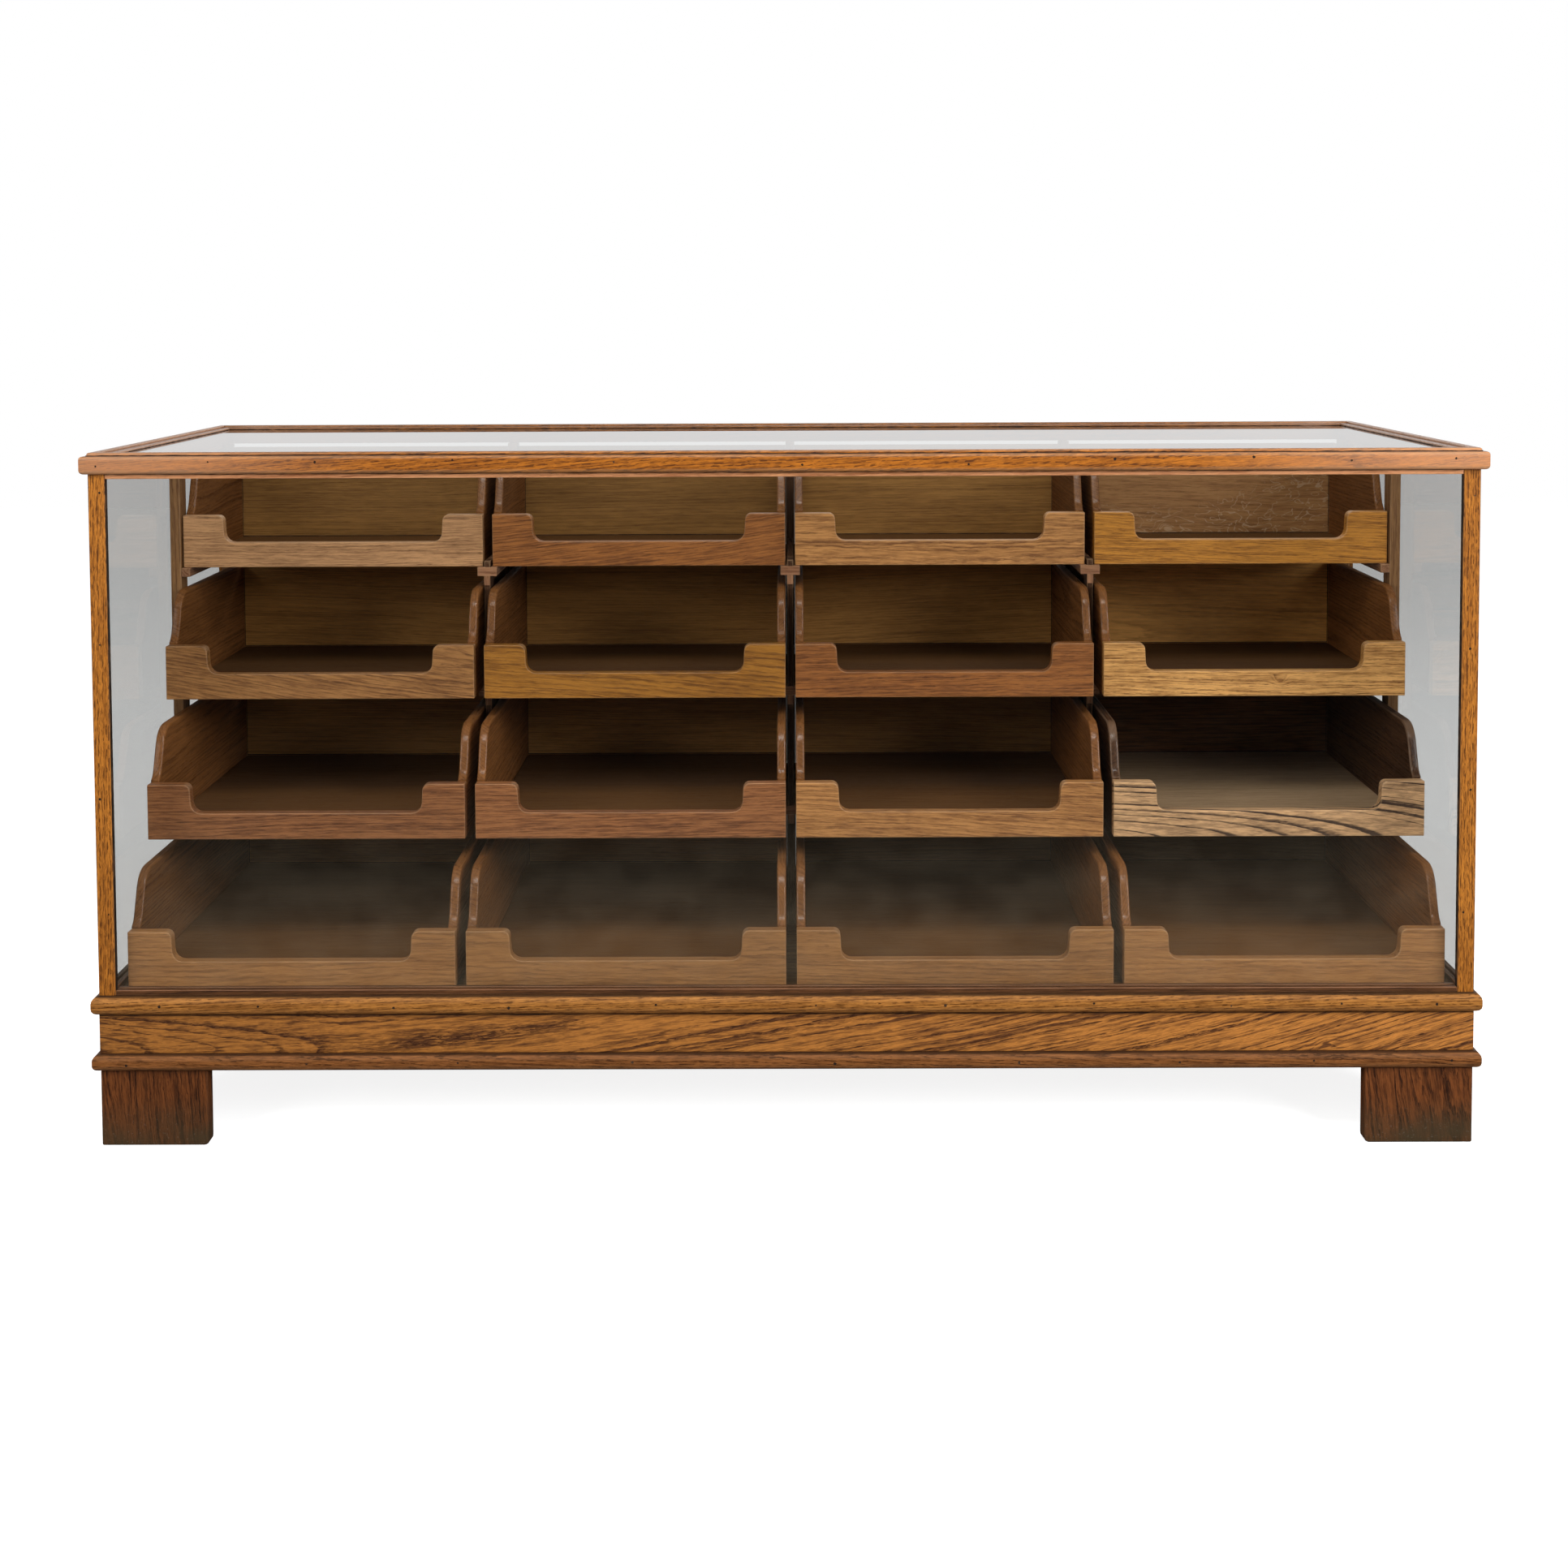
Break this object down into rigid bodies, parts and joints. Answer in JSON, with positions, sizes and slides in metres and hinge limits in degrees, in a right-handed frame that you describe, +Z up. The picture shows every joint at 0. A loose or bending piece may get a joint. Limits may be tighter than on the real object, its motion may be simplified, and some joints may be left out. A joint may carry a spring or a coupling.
{
  "type": "haberdashery cabinet",
  "caption": "Glazed oak shop counter on block feet, with tiers of scoop-fronted drawers that slide out at the back.",
  "frame": {"origin": "on the floor, at the middle of the counter's width and depth", "axes": "+X to the right along the counter seen from its glazed front, +Y from the glazed front to the back, +Z up"},
  "size_m": [1.829, 0.61, 0.92],
  "materials": {
    "frame_oak": "waxed golden oak",
    "drawer_oak": "waxed oak",
    "inner_oak": "dry dark oak",
    "foot_oak": "dark scuffed oak",
    "plate_glass": "old clear plate glass",
    "brass": "aged brass"
  },
  "bodies": {
    "carcass": {"foot_front_left": "foot_oak", "foot_front_right": "foot_oak", "foot_rear_left": "foot_oak", "foot_rear_right": "foot_oak", "plinth_front_rail": "frame_oak", "plinth_rear_rail": "frame_oak", "plinth_side_rails": "frame_oak", "lower_moulding": "frame_oak", "upper_moulding": "frame_oak", "floor_board": "inner_oak", "floor_bearers": "inner_oak", "front_posts": "frame_oak", "rear_posts": "frame_oak", "post_beads": "frame_oak", "lower_glazing_beads": "frame_oak", "upper_glazing_beads": "frame_oak", "front_glass": "plate_glass", "side_glass_left": "plate_glass", "side_glass_right": "plate_glass", "top_glass": "plate_glass", "top_front_rail": "frame_oak", "top_rear_rail": "frame_oak", "top_side_rails": "frame_oak", "top_glass_beads": "frame_oak", "side_uprights": "inner_oak", "centre_uprights": "inner_oak", "side_runners": "inner_oak", "centre_runners": "inner_oak"},
    "drawer_body_row1_col1": {"drawer_row1_col1": "drawer_oak", "pull_row1_col1": "brass"},
    "drawer_body_row1_col2": {"drawer_row1_col2": "drawer_oak", "pull_row1_col2": "brass"},
    "drawer_body_row1_col3": {"drawer_row1_col3": "drawer_oak", "pull_row1_col3": "brass"},
    "drawer_body_row1_col4": {"drawer_row1_col4": "drawer_oak", "pull_row1_col4": "brass"},
    "drawer_body_row2_col1": {"drawer_row2_col1": "drawer_oak", "pull_row2_col1": "brass"},
    "drawer_body_row2_col2": {"drawer_row2_col2": "drawer_oak", "pull_row2_col2": "brass"},
    "drawer_body_row2_col3": {"drawer_row2_col3": "drawer_oak", "pull_row2_col3": "brass"},
    "drawer_body_row2_col4": {"drawer_row2_col4": "drawer_oak", "pull_row2_col4": "brass"},
    "drawer_body_row3_col1": {"drawer_row3_col1": "drawer_oak", "pull_row3_col1": "brass"},
    "drawer_body_row3_col2": {"drawer_row3_col2": "drawer_oak", "pull_row3_col2": "brass"},
    "drawer_body_row3_col3": {"drawer_row3_col3": "drawer_oak", "pull_row3_col3": "brass"},
    "drawer_body_row3_col4": {"drawer_row3_col4": "drawer_oak", "pull_row3_col4": "brass"},
    "drawer_body_row4_col1": {"drawer_row4_col1": "drawer_oak", "pull_row4_col1": "brass"},
    "drawer_body_row4_col2": {"drawer_row4_col2": "drawer_oak", "pull_row4_col2": "brass"},
    "drawer_body_row4_col3": {"drawer_row4_col3": "drawer_oak", "pull_row4_col3": "brass"},
    "drawer_body_row4_col4": {"drawer_row4_col4": "drawer_oak", "pull_row4_col4": "brass"}
  },
  "joints": [
    {"name": "slide_row1_col1", "type": "slide", "parent": "carcass", "child": "drawer_body_row1_col1", "axis": [0, 1, 0], "range_m": [0, 0.168]},
    {"name": "slide_row1_col2", "type": "slide", "parent": "carcass", "child": "drawer_body_row1_col2", "axis": [0, 1, 0], "range_m": [0, 0.168]},
    {"name": "slide_row1_col3", "type": "slide", "parent": "carcass", "child": "drawer_body_row1_col3", "axis": [0, 1, 0], "range_m": [0, 0.168]},
    {"name": "slide_row1_col4", "type": "slide", "parent": "carcass", "child": "drawer_body_row1_col4", "axis": [0, 1, 0], "range_m": [0, 0.168]},
    {"name": "slide_row2_col1", "type": "slide", "parent": "carcass", "child": "drawer_body_row2_col1", "axis": [0, 1, 0], "range_m": [0, 0.222]},
    {"name": "slide_row2_col2", "type": "slide", "parent": "carcass", "child": "drawer_body_row2_col2", "axis": [0, 1, 0], "range_m": [0, 0.222]},
    {"name": "slide_row2_col3", "type": "slide", "parent": "carcass", "child": "drawer_body_row2_col3", "axis": [0, 1, 0], "range_m": [0, 0.222]},
    {"name": "slide_row2_col4", "type": "slide", "parent": "carcass", "child": "drawer_body_row2_col4", "axis": [0, 1, 0], "range_m": [0, 0.222]},
    {"name": "slide_row3_col1", "type": "slide", "parent": "carcass", "child": "drawer_body_row3_col1", "axis": [0, 1, 0], "range_m": [0, 0.276]},
    {"name": "slide_row3_col2", "type": "slide", "parent": "carcass", "child": "drawer_body_row3_col2", "axis": [0, 1, 0], "range_m": [0, 0.276]},
    {"name": "slide_row3_col3", "type": "slide", "parent": "carcass", "child": "drawer_body_row3_col3", "axis": [0, 1, 0], "range_m": [0, 0.276]},
    {"name": "slide_row3_col4", "type": "slide", "parent": "carcass", "child": "drawer_body_row3_col4", "axis": [0, 1, 0], "range_m": [0, 0.276]},
    {"name": "slide_row4_col1", "type": "slide", "parent": "carcass", "child": "drawer_body_row4_col1", "axis": [0, 1, 0], "range_m": [0, 0.33]},
    {"name": "slide_row4_col2", "type": "slide", "parent": "carcass", "child": "drawer_body_row4_col2", "axis": [0, 1, 0], "range_m": [0, 0.33]},
    {"name": "slide_row4_col3", "type": "slide", "parent": "carcass", "child": "drawer_body_row4_col3", "axis": [0, 1, 0], "range_m": [0, 0.33]},
    {"name": "slide_row4_col4", "type": "slide", "parent": "carcass", "child": "drawer_body_row4_col4", "axis": [0, 1, 0], "range_m": [0, 0.33]}
  ]
}
